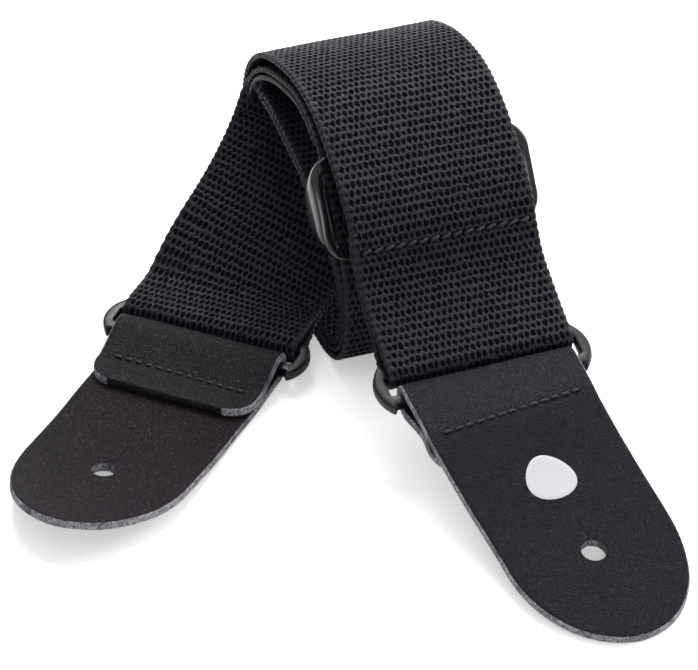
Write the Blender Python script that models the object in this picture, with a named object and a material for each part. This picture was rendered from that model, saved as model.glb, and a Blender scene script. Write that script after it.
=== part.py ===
"""Adjustable two-inch guitar strap, wound into a hank and standing on the ground.

Lengths are written in millimetres and turned into metres when a mesh is made.
World axes: +X along the width of the wound webbing, +Y to the back of the hank,
+Z up.  The origin is the middle of the hank's flat underside.
Profiles are written as (a, z): a is the distance forward of the hank's back wall
(Y = HANK_BACK - a) and z the height above the ground.
"""
import math
import bpy
import numpy as np

MM = 0.001

# ---- driving dimensions (mm) ----------------------------------------------
WEB_WIDTH = 50.8            # two-inch webbing
WEB_THICK = 1.7
LAYER_PITCH = 2.1           # centre to centre of touching layers
HANK_BACK = 40.0            # Y of the hank's back wall

RING_LENGTH, RING_WIDTH, RING_THICK = 59.0, 18.6, 3.0
RING_SLOT_LENGTH, RING_SLOT_WIDTH = 52.2, 5.2
RING_BAR = 3.2                                      # width of the near-round bars
RING_BAR_OFFSET = (RING_SLOT_WIDTH + RING_BAR) / 2.0
LOOP_GAP = 0.4              # clearance between a ring bar and what wraps it

TAB_THICK = 2.3
TAB_WIDTH = 47.2            # at the fold
TAB_WAIST = 45.6            # before the tongue
TAB_LENGTH = 90.0           # ring centre to tip
TAB_TONGUE = 32.0           # length of the half-elliptic tip
TAB_FLAP = 26.0             # ring centre to the end of the folded flap
TAB_FLAP_CORNER = 7.0
BUTTON_HOLE_AT = 61.2       # ring centre to hole centre
BUTTON_HOLE_DIA = 6.4
BUTTON_SLIT_LENGTH, BUTTON_SLIT_WIDTH = 11.0, 0.7
STITCH_ROW_AT = 16.5        # ring centre to stitch row
STITCH_ROW_LENGTH = 39.0
STITCH_COUNT = 13

SLIDER_LENGTH, SLIDER_WIDTH = 61.0, 28.0
SLIDER_BAR = 4.2
SLIDER_MID_BAR = 5.0
SLIDER_RAIL = 4.2
SLIDER_THICK = 2.4
RAIL_ARCH = 1.3             # rise of the side rails at mid-length

FOLD_BACK = 37.0            # webbing turned back under the right arm
SEAM_AT = 31.0              # seam distance up the arm from the ring bar
RETURN_STOP = 17.5          # end of the return layer, from the slider's centre


# ---- collections and materials ---------------------------------------------
def clear_scene():
    """Empty the scene and return the parts collection and the cutters collection."""
    for ob in list(bpy.data.objects):
        bpy.data.objects.remove(ob, do_unlink=True)
    made = []
    for name in ("guitar_strap", "cutters"):
        col = bpy.data.collections.new(name)
        bpy.context.scene.collection.children.link(col)
        made.append(col)
    return made


def material(name, colour, rough, coat=0.0):
    """A Principled material with a base colour and a roughness."""
    mat = bpy.data.materials.new(name)
    mat.use_nodes = True
    bsdf = mat.node_tree.nodes["Principled BSDF"]
    bsdf.inputs["Base Color"].default_value = (*colour, 1.0)
    bsdf.inputs["Roughness"].default_value = rough
    bsdf.inputs["Coat Weight"].default_value = coat
    return mat


def add_solid(name, verts, faces, mat, col, origin=(0, 0, 0)):
    """Make one closed object from millimetre vertices, with its origin placed."""
    o = np.asarray(origin, float)
    mesh = bpy.data.meshes.new(name)
    mesh.from_pydata([tuple((np.asarray(v) - o) * MM) for v in verts], [], faces)
    mesh.update()
    ob = bpy.data.objects.new(name, mesh)
    ob.location = tuple(o * MM)
    if mat:
        mesh.materials.append(mat)
    col.objects.link(ob)
    return ob


# ---- curves ------------------------------------------------------------------
def smooth_curve(points, step):
    """Catmull-Rom curve through points (centripetal), sampled about every step."""
    p = np.asarray(points, float)
    p = np.vstack([2 * p[0] - p[1], p, 2 * p[-1] - p[-2]])
    out = []
    for i in range(1, len(p) - 2):
        q = p[i - 1:i + 3]
        t = np.concatenate([[0], np.cumsum(np.sqrt(np.linalg.norm(np.diff(q, axis=0), axis=1)))])
        for s in np.linspace(t[1], t[2], 24, endpoint=False):
            a1 = [(t[k + 1] - s) / (t[k + 1] - t[k]) * q[k] + (s - t[k]) / (t[k + 1] - t[k]) * q[k + 1] for k in range(3)]
            a2 = [(t[k + 2] - s) / (t[k + 2] - t[k]) * a1[k] + (s - t[k]) / (t[k + 2] - t[k]) * a1[k + 1] for k in range(2)]
            out.append((t[2] - s) / (t[2] - t[1]) * a2[0] + (s - t[1]) / (t[2] - t[1]) * a2[1])
    out.append(p[-2])
    return resample(np.array(out), step)


def resample(p, step):
    """Even spacing along a polyline."""
    d = np.concatenate([[0], np.cumsum(np.linalg.norm(np.diff(p, axis=0), axis=1))])
    n = max(2, int(round(d[-1] / step)) + 1)
    s = np.linspace(0, d[-1], n)
    return np.stack([np.interp(s, d, p[:, k]) for k in range(p.shape[1])], 1)


def length_of(p):
    """Length of a polyline."""
    return float(np.linalg.norm(np.diff(p, axis=0), axis=1).sum())


def az_to_world(az, x=0.0):
    """Profile points (a, z) at one X to world points."""
    az = np.asarray(az, float)
    return np.stack([np.full(len(az), x), HANK_BACK - az[:, 0], az[:, 1]], 1)


def unit(v):
    """Vector scaled to length one."""
    v = np.asarray(v, float)
    return v / np.linalg.norm(v)


def frames_along(p, rule):
    """Unit tangents and thickness normals of a band with centre p and width directions rule."""
    t = np.gradient(p, axis=0)
    t /= np.linalg.norm(t, axis=1)[:, None]
    r = rule - (rule * t).sum(1)[:, None] * t
    r /= np.linalg.norm(r, axis=1)[:, None]
    return t, r, np.cross(r, t)


def band_solid(p, rule, half_width, thick):
    """Closed band: a rectangle swept along p, rule across the width.

    half_width may be one number or one per station."""
    _, r, n = frames_along(p, rule)
    hw = np.broadcast_to(np.asarray(half_width, float), (len(p),))[:, None]
    h = thick / 2.0
    corners = [p - r * hw - n * h, p + r * hw - n * h, p + r * hw + n * h, p - r * hw + n * h]
    verts = np.stack(corners, 1).reshape(-1, 3)
    return verts, sweep_faces(len(p), 4)


def sweep_faces(stations, ring):
    """Faces of a swept closed section with capped ends."""
    faces = []
    for i in range(stations - 1):
        for k in range(ring):
            a, b = i * ring + k, i * ring + (k + 1) % ring
            faces.append((a, b, b + ring, a + ring))
    faces.append(tuple(range(ring - 1, -1, -1)))
    faces.append(tuple((stations - 1) * ring + k for k in range(ring)))
    return faces


def outward(ob):
    """Point all faces of a closed object outward."""
    import bmesh
    bm = bmesh.new()
    bm.from_mesh(ob.data)
    bmesh.ops.recalc_face_normals(bm, faces=bm.faces)
    bm.to_mesh(ob.data)
    bm.free()


# ---- the hank's profile -------------------------------------------------------
RING_A_TILT = math.radians(-20.0)
RING_A = np.array([115.45, 21.87])                    # (a, z) of the ring's centre
U_A = np.array([math.cos(RING_A_TILT), math.sin(RING_A_TILT)])
N_A = np.array([-U_A[1], U_A[0]])
BAR_A = RING_A - U_A * RING_BAR_OFFSET              # bar inside the webbing loop
BAR_A2 = RING_A + U_A * RING_BAR_OFFSET             # bar inside the leather fold

LOOP_R = RING_BAR / 2 + LOOP_GAP + WEB_THICK / 2
BAR_HALF = 0.0                                      # flat length of a bar's section

SLIDE_C = np.array([71.2, 49.0])                    # slider centre (a, z)
SLIDE_D = unit((0.56, -0.83))                       # along the front layer, downward
SLIDE_N = np.array([-SLIDE_D[1], SLIDE_D[0]])       # towards the right arm


def main_turns():
    """Right arm, first crest and the two turns of the main layer as (a, z) lists."""
    start = BAR_A - U_A * BAR_HALF + N_A * LOOP_R
    arm = [start, (104.8, 30.4), (99.6, 33.6), (94.0, 37.5), (90.0, 43.0), (86.4, 49.8), (80.6, 56.5),
           (73.6, 61.9), (65.8, 67.1), (57.0, 70.9), (47.0, 72.2), (35.4, 70.9), (23.5, 67.5),
           (13.7, 62.7), (6.6, 56.0), (2.9, 49.1), (1.2, 42.0), (0.85, 34.0), (0.85, 20.0),
           (1.2, 12.0), (3.6, 5.0), (9.0, 1.5), (16.0, 0.85), (30.0, 0.85), (45.0, 0.85), (58.0, 0.85),
           (67.0, 1.2), (74.5, 3.6), (79.6, 9.0), (81.4, 16.0), (81.8, 24.0), (81.4, 31.0)]
    s = [tuple(SLIDE_C + SLIDE_D * k) for k in (14.5, 7.0, -7.0, -13.5)]
    second = [(58.2, 65.3), (47.5, 68.4), (36.0, 67.0), (24.6, 63.7), (15.6, 59.4), (9.0, 53.8),
              (5.3, 48.0), (3.4, 41.4), (2.95, 34.0), (2.95, 21.0), (3.3, 13.0), (5.6, 6.9), (10.0, 3.8),
              (16.5, 2.95), (30.0, 2.95), (45.0, 2.95), (58.0, 2.95), (66.2, 3.3), (73.0, 5.5), (77.6, 10.2),
              (79.3, 16.5), (79.6, 23.5), (77.9, 29.6), (73.2, 34.8), (66.6, 39.3), (58.6, 43.6),
              (49.0, 47.4), (38.5, 50.2), (28.6, 52.2)]
    return arm + s + second


# left arm: centre point, width direction
LEFT_RULE = unit((0.731, -0.682, 0.0))
LEFT_HEAD = np.array([-0.682, -0.731, 0.0])
LEFT_ARM = [((0, 19.6, 53.2), (1, 0, 0)), ((-0.1, 25.4, 51.6), (1, -0.01, 0)),
            ((-0.8, 28.2, 46.6), (1, -0.04, 0)), ((-3.6, 26.6, 40.4), (0.99, -0.13, 0)),
            ((-9.0, 20.6, 34.1), (0.95, -0.28, 0)), ((-17.4, 13.2, 27.2), (0.88, -0.46, 0)),
            ((-27.0, 6.6, 20.1), (0.80, -0.60, 0)), ((-35.0, 2.0, 13.8), (0.76, -0.65, 0)),
            ((-41.8, -2.8, 8.2), (0.731, -0.682, 0))]
RING_B = np.array([-55.454, -17.016, 5.455])            # ring centre
RING_B_TILT = math.radians(-4.0)
U_B = LEFT_HEAD * math.cos(RING_B_TILT) + np.array([0, 0, math.sin(RING_B_TILT)])
N_B = unit(np.cross(U_B, LEFT_RULE)) * 1.0
if N_B[2] < 0:
    N_B = -N_B
BAR_B = RING_B - U_B * RING_BAR_OFFSET
BAR_B2 = RING_B + U_B * RING_BAR_OFFSET


def loop_points(bar, u, n, radius, steps=9):
    """Half turn round the far side of a bar, from its +n face to its -n face."""
    c = bar + u * BAR_HALF
    ang = np.linspace(math.pi / 2, -math.pi / 2, steps)
    return [c + u * radius * math.cos(t) + n * radius * math.sin(t) for t in ang]


def smooth_step(x):
    """Smooth 0 to 1 ramp."""
    x = np.clip(x, 0, 1)
    return x * x * (3 - 2 * x)


def webbing_path():
    """Centre line and width directions of the whole webbing, end to end.

    Order: end folded back under the right arm, ring A, right arm, two turns of
    the hank, left arm, ring B, then the return layer inside the main layer as
    far as the slider.  Returns (points, rules, number of main-layer stations)."""
    step = 2.2
    hank_keys = az_to_world(main_turns())
    keys = [np.hstack([q, [1.0, 0, 0]]) for q in hank_keys]
    keys += [np.hstack([np.array(q, float), unit(r)]) for q, r in LEFT_ARM]
    keys += [np.hstack([BAR_B - U_B * (BAR_HALF + 4.0) - N_B * LOOP_R, LEFT_RULE]),
             np.hstack([BAR_B - U_B * BAR_HALF - N_B * LOOP_R, LEFT_RULE])]
    both = smooth_curve(keys, step)
    base, base_rule = both[:, :3], both[:, 3:]
    base_rule = base_rule / np.linalg.norm(base_rule, axis=1)[:, None]
    s = np.concatenate([[0], np.cumsum(np.linalg.norm(np.diff(base, axis=0), axis=1))])
    _, r, n = frames_along(base, base_rule)
    if np.dot(n[20], az_to_world([[45.0, 30.0]])[0] - base[20]) < 0:
        n = -n                                     # n points to the inside of the roll
    spread = 2 * LOOP_R - LAYER_PITCH
    # fold-back under the right arm
    fold = (s > 0.1) & (s < FOLD_BACK)
    near = LAYER_PITCH + spread * (1 - smooth_step((s - 3.0) / 13.0))
    back = (base + n * near[:, None])[fold][::-1]
    first = az_to_world([BAR_A - U_A * BAR_HALF - N_A * LOOP_R])
    loop_a = az_to_world(np.array(loop_points(BAR_A, U_A, N_A, LOOP_R))[::-1])
    loop_b = np.array(loop_points(BAR_B, U_B, -N_B, LOOP_R))
    # return layer
    far = LAYER_PITCH + spread * smooth_step((s - (s[-1] - 16.0)) / 13.0)
    stop = az_to_world([SLIDE_C - SLIDE_D * RETURN_STOP])[0]
    i_stop = int(np.argmin(np.linalg.norm(base - stop, axis=1)))
    ret = (base + n * far[:, None])[i_stop:][::-1]
    ret[0] = BAR_B - U_B * BAR_HALF + N_B * LOOP_R
    path = np.vstack([back, first, loop_a, base, loop_b, ret])
    rule = np.vstack([np.tile([1.0, 0, 0], (len(back) + 1 + len(loop_a), 1)), base_rule,
                      np.tile(LEFT_RULE, (len(loop_b), 1)), base_rule[i_stop:][::-1]])
    keep = np.concatenate([[True], np.linalg.norm(np.diff(path, axis=0), axis=1) > 0.25])
    return path[keep], rule[keep], len(back) + 1 + len(loop_a) + len(base)


# ---- rings ---------------------------------------------------------------------
def rounded_rect(half_x, half_y, radius, per_corner=6):
    """Counter-clockwise outline of a rounded rectangle."""
    out = []
    for cx, cy, a0 in ((half_x - radius, half_y - radius, 0), (-half_x + radius, half_y - radius, 90),
                       (-half_x + radius, -half_y + radius, 180), (half_x - radius, -half_y + radius, 270)):
        for k in range(per_corner + 1):
            a = math.radians(a0 + 90.0 * k / per_corner)
            out.append((cx + radius * math.cos(a), cy + radius * math.sin(a)))
    return np.array(out)


def outward_normals(q):
    """Outward normals at the points of a closed outline that runs counter-clockwise."""
    t = np.roll(q, -1, axis=0) - np.roll(q, 1, axis=0)
    n = np.column_stack([t[:, 1], -t[:, 0]])
    return n / np.linalg.norm(n, axis=1)[:, None]


def frame_solid(outer, inner, thick, edge):
    """Plate with one opening; its rims are chamfered by edge.

    Both outlines have the same number of points.  Returns local vertices and faces."""
    n = len(outer)
    so = outer - outward_normals(outer) * edge
    si = inner + outward_normals(inner) * edge
    h = thick / 2
    rings = [(so, -h), (outer, -h + edge), (outer, h - edge), (so, h), (si, h), (inner, h - edge), (inner, -h + edge), (si, -h)]
    verts = np.vstack([np.column_stack([o, np.full(n, z)]) for o, z in rings])
    faces = []
    m = len(rings)
    for q in range(m):
        for k in range(n):
            a, b = q * n + k, q * n + (k + 1) % n
            c, d = ((q + 1) % m) * n + (k + 1) % n, ((q + 1) % m) * n + k
            faces.append((a, b, c, d))
    return verts, faces


def place(local, origin, ex, ey, ez):
    """Local (x, y, z) vertices into the world."""
    return origin + local[:, :1] * ex + local[:, 1:2] * ey + local[:, 2:3] * ez


def ring_outline():
    """Outer outline of a ring: half-round ends, waisted along the bars."""
    hx, hy, bar = RING_LENGTH / 2, RING_WIDTH / 2, RING_SLOT_WIDTH / 2 + RING_BAR
    wall = WEB_WIDTH / 2 + 0.35                         # the lobes stand clear of the webbing's edges
    last = math.acos((wall + 0.7 - hx + hy) / hy)
    quarter = [(hx - hy + hy * math.cos(t), hy * math.sin(t)) for t in np.linspace(0.05, last, 7)]
    top = quarter[-1][1]
    quarter += [(wall + 0.15, top - 0.15), (wall, top - 0.7), (wall, bar + 0.5), (wall - 0.15, bar)]
    q = np.array(quarter)
    return np.vstack([q, (q * (-1, 1))[::-1], q * (-1, -1), (q * (1, -1))[::-1]])


def make_ring(name, centre, ex, ey, ez, pivot, mat, col):
    """One flat strap ring."""
    v, f = frame_solid(ring_outline(), rounded_rect(RING_SLOT_LENGTH / 2, RING_SLOT_WIDTH / 2, 0.6, 10),
                       RING_THICK, 0.65)
    ob = add_solid(name, place(v, centre, ex, ey, ez), f, mat, col, pivot)
    outward(ob)
    return ob


# ---- leather tabs ---------------------------------------------------------------
def tab_half_width(s):
    """Half width of the long leaf at distance s from the ring's centre."""
    body = TAB_LENGTH - TAB_TONGUE
    f = np.clip((s - 4.0) / (body - 4.0), 0, 1)
    w = TAB_WIDTH / 2 + (TAB_WAIST - TAB_WIDTH) / 2 * f
    k = np.clip((s - body) / TAB_TONGUE, 0, 1)
    return w * np.power(np.clip(1 - k ** 2.05, 0, 1), 1 / 2.0)


def flap_half_width(s):
    """Half width of the folded flap with rounded corners at its end."""
    k = np.clip((s - (TAB_FLAP - TAB_FLAP_CORNER)) / TAB_FLAP_CORNER, 0, 1)
    return TAB_WIDTH / 2 - TAB_FLAP_CORNER * (1 - np.sqrt(np.clip(1 - k ** 2, 0, 1)))


def tab_curves(bar, centre, u, n, sign, ground):
    """Centre lines (u, n, z mixed into points) of the long leaf and of the flap.

    sign +1: long leaf over the bar and flap below; -1: flap on top."""
    rad = RING_BAR / 2 + LOOP_GAP + TAB_THICK / 2
    c = bar - u * BAR_HALF
    ang = np.linspace(math.pi / 2, 3 * math.pi / 2, 9)
    fold = np.array([c + u * rad * math.cos(t) + n * rad * math.sin(t) for t in ang])
    start_top = bar + u * BAR_HALF + n * rad
    start_low = bar + u * BAR_HALF - n * rad
    long_start, flap_start = (start_top, start_low) if sign > 0 else (start_low, start_top)
    fold = fold if sign > 0 else fold[::-1]
    long_pts = [long_start] + ground
    return fold, long_start, flap_start, long_pts


def tab_solid(fold, long_line, flap_line, rule, s_long, s_flap):
    """One leather piece: flap end -> fold -> tongue tip."""
    p = np.vstack([flap_line[::-1], fold[::-1], long_line])
    hw = np.concatenate([flap_half_width(s_flap)[::-1], np.full(len(fold), TAB_WIDTH / 2), tab_half_width(s_long)])
    hw = np.maximum(hw, 1.2)
    return band_solid(p, np.tile(rule, (len(p), 1)), hw, TAB_THICK), p


def stations(p, origin, u, first):
    """Distance from the ring's centre along a leaf, given the start distance."""
    return first + np.concatenate([[0], np.cumsum(np.linalg.norm(np.diff(p, axis=0), axis=1))])


def refine_end(p, s, total, extra):
    """Resample a leaf so that its rounded end has close stations."""
    body = np.arange(s[0], total - extra, 2.4)
    k = np.linspace(0, 1, 13)
    end = total - extra + extra * np.sin(k * math.pi / 2)
    end[-1] = total - 0.02
    q = np.concatenate([body[body < total - extra - 0.6], end])
    return np.stack([np.interp(q, s, p[:, j]) for j in range(3)], 1), q


def stitch_row(name, centre, ex, ey, ez, length, count, height, mat, col, pivot=(0, 0, 0), bulge=0.42, neck=0.16):
    """A run of thread lying on a surface: fat stitches joined by thin necks."""
    per = 6
    xs = np.linspace(-length / 2, length / 2, count * per + 1)
    phase = (np.arange(len(xs)) % per) / per
    rad = neck + (bulge - neck) * np.sin(math.pi * phase)
    rad[0] = rad[-1] = neck
    ang = np.linspace(0, 2 * math.pi, 6, endpoint=False)
    verts = []
    for x, r in zip(xs, rad):
        for a in ang:
            verts.append(centre + ex * x + ey * r * math.cos(a) + ez * (height + bulge + r * math.sin(a)))
    ob = add_solid(name, verts, sweep_faces(len(xs), 6), mat, col, pivot)
    outward(ob)
    return ob


def cut_button_hole(tab, centre, u, r, n, cutters):
    """Round hole with a slit towards the ring, cut straight through the leather."""
    pts = []
    rad = BUTTON_HOLE_DIA / 2
    half = BUTTON_SLIT_WIDTH / 2
    a0 = math.asin(half / rad)
    for t in np.linspace(math.pi + a0, 3 * math.pi - a0, 25):
        pts.append((rad * math.cos(t), rad * math.sin(t)))
    pts += [(-BUTTON_SLIT_LENGTH - rad * 0.5, half), (-BUTTON_SLIT_LENGTH - rad * 0.5, -half)]
    k = len(pts)
    verts = [centre + u * x + r * y + n * z for z in (-6.0, 6.0) for x, y in pts]
    faces = [tuple(range(k)), tuple(range(2 * k - 1, k - 1, -1))]
    faces += [(i, (i + 1) % k, (i + 1) % k + k, i + k) for i in range(k)]
    cut = add_solid("cut_" + tab.name, verts, faces, None, cutters)
    outward(cut)
    cut.display_type = "WIRE"
    cut.hide_render = True
    mod = tab.modifiers.new("button_hole", "BOOLEAN")
    mod.operation = "DIFFERENCE"
    mod.solver = "EXACT"
    mod.object = cut


# ---- build -----------------------------------------------------------------------
parts, cutters = clear_scene()
webbing_mat = material("black_webbing", (0.018, 0.018, 0.022), 0.72)
leather_mat = material("black_leather", (0.024, 0.022, 0.024), 0.55)
plastic_mat = material("black_plastic", (0.012, 0.012, 0.013), 0.35, 0.2)
gloss_mat = material("gloss_plastic", (0.010, 0.010, 0.012), 0.18, 0.6)
thread_mat = material("black_thread", (0.014, 0.014, 0.016), 0.6)
foil_mat = material("silver_foil", (0.62, 0.62, 0.64), 0.35)

# webbing
path, rules, _ = webbing_path()
v, f = band_solid(path, rules, WEB_WIDTH / 2, WEB_THICK)
web = add_solid("main_webbing", v, f, webbing_mat, parts)
outward(web)

# ring and tab at the front
X, Y, Z = np.eye(3)
u3 = -Y * U_A[0] + Z * U_A[1]
n3 = -Y * N_A[0] + Z * N_A[1]
ring_a = az_to_world([RING_A])[0]
bar_a = az_to_world([BAR_A])[0]
bar_a2 = az_to_world([BAR_A2])[0]
make_ring("ring_front", ring_a, X, u3, n3, bar_a, plastic_mat, parts)


def build_tab(name, ring_c, bar, u, n, rule, sign, ground, pivot):
    """Leather tab round one ring bar; returns the long leaf's line and stations."""
    fold, ls, fs, pts = tab_curves(bar, ring_c, u, n, sign, ground)
    line = smooth_curve(pts, 1.2)
    s = stations(line, ring_c, u, RING_BAR_OFFSET + BAR_HALF)
    line, s = refine_end(line, s, TAB_LENGTH, TAB_TONGUE)
    # the flap hugs the long leaf
    t, r, nn = frames_along(line, np.tile(rule, (len(line), 1)))
    if np.dot(nn[0], n) < 0:
        nn = -nn
    pitch = TAB_THICK + 0.3
    inner = line - nn * pitch * sign
    m = s > RING_BAR_OFFSET + 10.0
    flap = smooth_curve([fs, fs + u * 1.5] + list(inner[m][:12:3]), 1.2)
    sf = stations(flap, ring_c, u, RING_BAR_OFFSET + BAR_HALF)
    flap, sf = refine_end(flap, sf, TAB_FLAP, TAB_FLAP_CORNER)
    (v, f), _ = tab_solid(fold, line, flap, rule, s, sf)
    ob = add_solid(name, v, f, leather_mat, parts, pivot)
    outward(ob)
    return ob, line, s, nn, flap, sf


TAB_A_DRIFT = 5.6                                   # sideways drift of the front tab
ground_a = [tuple(az_to_world([p], TAB_A_DRIFT * float(smooth_step((p[0] - 116.0) / 64.0)))[0]) for p in ((128.5, 20.9), (136.0, 17.6), (146.0, 13.4), (158.0, 9.2),
                                               (170.0, 5.9), (183.0, 3.2), (194.0, 1.7), (203.0, 1.25), (214.0, 1.2))]
tab_a, line_a, s_a, nn_a, flap_a, sf_a = build_tab("leather_tab_front", ring_a, bar_a2, u3, n3, X, 1, ground_a, bar_a2)


def at_station(line, s, nn, where):
    """Point, forward direction and surface normal of a leaf at a station."""
    p = np.array([np.interp(where, s, line[:, k]) for k in range(3)])
    q = np.array([np.interp(where + 1.0, s, line[:, k]) for k in range(3)])
    k = int(np.argmin(np.abs(s - where)))
    return p, unit(q - p), nn[k]


p, du, dn = at_station(line_a, s_a, nn_a, BUTTON_HOLE_AT)
cut_button_hole(tab_a, p, du, np.cross(dn, du), dn, cutters)
p, du, dn = at_station(line_a, s_a, nn_a, STITCH_ROW_AT)
stitch_row("stitches_front", p, X, du, dn, STITCH_ROW_LENGTH, STITCH_COUNT, TAB_THICK / 2 + 0.08, thread_mat, parts, bar_a2)

# plain plectrum-shaped foil mark on the front tab
p, du, dn = at_station(line_a, s_a, nn_a, 37.2)
mark = []
for k in range(24):
    a = 2 * math.pi * k / 24
    mark.append((6.4 * math.sin(a) * (1 - 0.22 * math.cos(a)), -6.6 * math.cos(a)))
verts = [p + np.cross(dn, du) * x + du * y + dn * (TAB_THICK / 2 + z) for z in (0.3, 0.5) for x, y in mark]
faces = [tuple(range(24)), tuple(range(47, 23, -1))] + [(i, (i + 1) % 24, (i + 1) % 24 + 24, i + 24) for i in range(24)]
foil = add_solid("foil_mark", verts, faces, foil_mat, parts, bar_a2)
outward(foil)

# ring and tab at the rear
make_ring("ring_rear", RING_B, LEFT_RULE, U_B, N_B, BAR_B, plastic_mat, parts)
ground_b = []
for d_, z_ in ((12.0, 1.9), (18.0, 1.4), (28.0, 1.45), (42.0, 2.1), (56.0, 3.5), (70.0, 5.6), (82.0, 8.2), (94.0, 11.4)):
    q = RING_B + LEFT_HEAD * d_ - LEFT_RULE * 0.6 * float(smooth_step((d_ - 8.0) / 20.0))
    ground_b.append((q[0], q[1], z_))
tab_b, line_b, s_b, nn_b, flap_b, sf_b = build_tab("leather_tab_rear", RING_B, BAR_B2, U_B, N_B, LEFT_RULE, -1, ground_b, BAR_B2)
p, du, dn = at_station(line_b, s_b, nn_b, BUTTON_HOLE_AT)
cut_button_hole(tab_b, p, du, np.cross(dn, du), dn, cutters)
tf, rf, nf = frames_along(flap_b, np.tile(LEFT_RULE, (len(flap_b), 1)))
nf = nf * np.sign(nf[:, 2:3])
p, du, dn = at_station(flap_b, sf_b, nf, STITCH_ROW_AT + 1.5)
stitch_row("stitches_rear", p, LEFT_RULE, du, dn, STITCH_ROW_LENGTH, STITCH_COUNT, TAB_THICK / 2 + 0.08, thread_mat, parts, BAR_B2)

# seam across the right arm
turns = smooth_curve(main_turns(), 1.0)
d = np.concatenate([[0], np.cumsum(np.linalg.norm(np.diff(turns, axis=0), axis=1))])
k = int(np.argmin(np.abs(d - SEAM_AT)))
p3 = az_to_world(turns[k:k + 2])
du = unit(p3[1] - p3[0])
dn = np.cross(X, du)
dn = dn * (1 if dn[1] < 0 else -1)
stitch_row("webbing_end_seam", p3[0], X, du, dn, WEB_WIDTH - 4.0, 15, WEB_THICK / 2 + 0.08, thread_mat, parts, (0, 0, 0), 0.5, 0.2)

# slider: two outer bars over the front layer, a centre bar below it, tall side rails
sc = az_to_world([SLIDE_C])[0]
sd = -Y * SLIDE_D[0] + Z * SLIDE_D[1]
sn = -Y * SLIDE_N[0] + Z * SLIDE_N[1]
over = WEB_THICK / 2 + 0.5 + SLIDER_THICK / 2
below = -(WEB_THICK / 2 + 0.5 + WEB_THICK + 0.35 + SLIDER_THICK / 2)


def slider_height(y):
    """Bow of the slider: bars high at both ends, low in the middle."""
    inner = SLIDER_MID_BAR / 2
    return below + (over - below) * smooth_step((np.abs(y) - inner) / (SLIDER_WIDTH / 2 - SLIDER_BAR - inner))


def rail_height(y):
    """Top of the side rails: one low arch from end to end."""
    return over + SLIDER_THICK / 2 + RAIL_ARCH * (1 - (y / (SLIDER_WIDTH / 2)) ** 2)


def slider_solid():
    """Ladder-lock plate with two slots, bowed along its short side."""
    hx, hy = SLIDER_LENGTH / 2, SLIDER_WIDTH / 2
    wall = hx - SLIDER_RAIL
    ys = [-hy, -hy + 1.2, -hy + SLIDER_BAR, -8.0, -5.4, -SLIDER_MID_BAR / 2, 0.0, SLIDER_MID_BAR / 2, 5.4, 8.0, hy - SLIDER_BAR, hy - 1.2, hy]
    bar_rows = {0, 1, 5, 6, 10, 11}                    # cells between ys[i] and ys[i+1] that are filled across
    inset = {0: 7.0, 1: 2.6, 11: 2.6, 12: 7.0}
    xs_n = 6
    cols = []
    for i, y in enumerate(ys):
        h = hx - inset.get(i, 0.0)
        w = min(wall, h - 1.8)
        cols.append([-h, -w - 0.6, -w, w, w + 0.6, h])
    verts, idx = [], {}
    for lay, off in enumerate((-SLIDER_THICK / 2, SLIDER_THICK / 2)):
        for i, y in enumerate(ys):
            for j in range(xs_n):
                idx[(lay, i, j)] = len(verts)
                top = rail_height(y) if lay == 1 and j in (0, 1, 4, 5) else slider_height(y) + off
                verts.append((cols[i][j], y, top))
    filled = set()
    for i in range(len(ys) - 1):
        for j in range(5):
            if j != 2 or i in bar_rows:
                filled.add((i, j))
    faces = []
    for (i, j) in filled:
        a, b, c, d_ = (i, j), (i, j + 1), (i + 1, j + 1), (i + 1, j)
        faces.append(tuple(idx[(1,) + q] for q in (a, b, c, d_)))
        faces.append(tuple(idx[(0,) + q] for q in (d_, c, b, a)))
        for (p0, p1, nb) in ((a, b, (i - 1, j)), (b, c, (i, j + 1)), (c, d_, (i + 1, j)), (d_, a, (i, j - 1))):
            if nb not in filled:
                faces.append((idx[(1,) + p1], idx[(1,) + p0], idx[(0,) + p0], idx[(0,) + p1]))
    return np.array(verts), faces


v, f = slider_solid()
sl = add_solid("slider_buckle", place(v, sc, X, sd, sn), f, gloss_mat, parts, sc)
outward(sl)

# short webbing loop sewn round the slider's centre bar
loop_r = SLIDER_THICK / 2 + 0.35 + WEB_THICK / 2
half = (SLIDER_MID_BAR - SLIDER_THICK) / 2 + 0.5
ang = np.linspace(-math.pi / 2, math.pi / 2, 9)
lp = [(-half - 4.5, -loop_r), (-half, -loop_r), (0.0, -loop_r), (half, -loop_r)]
lp += [(half + loop_r * math.cos(t), loop_r * math.sin(t)) for t in ang[1:-1]]
lp += [(half, loop_r), (0.0, loop_r), (-half, loop_r)]
lp += [(-half - loop_r * math.cos(t), loop_r * math.sin(t)) for t in ang[::-1][1:5]]
lp = np.array(lp)
loop_w = sc + lp[:, :1] * sd + (lp[:, 1:2] + below) * sn
v, f = band_solid(loop_w, np.tile(X, (len(lp), 1)), WEB_WIDTH / 2, WEB_THICK)
lo = add_solid("slider_webbing_loop", v, f, webbing_mat, parts, sc)
outward(lo)
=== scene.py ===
# %% [markdown]
# # A two-inch guitar strap, wound into a roll
# The strap is one band of woven black webbing.  It starts at the front leather tab,
# winds twice round, leaves through the roll's left end and finishes at the rear tab.
# Every surface here is computed with numpy from the same lengths as the solid model,
# in millimetres, and turned into metres when its mesh is made.

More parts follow.
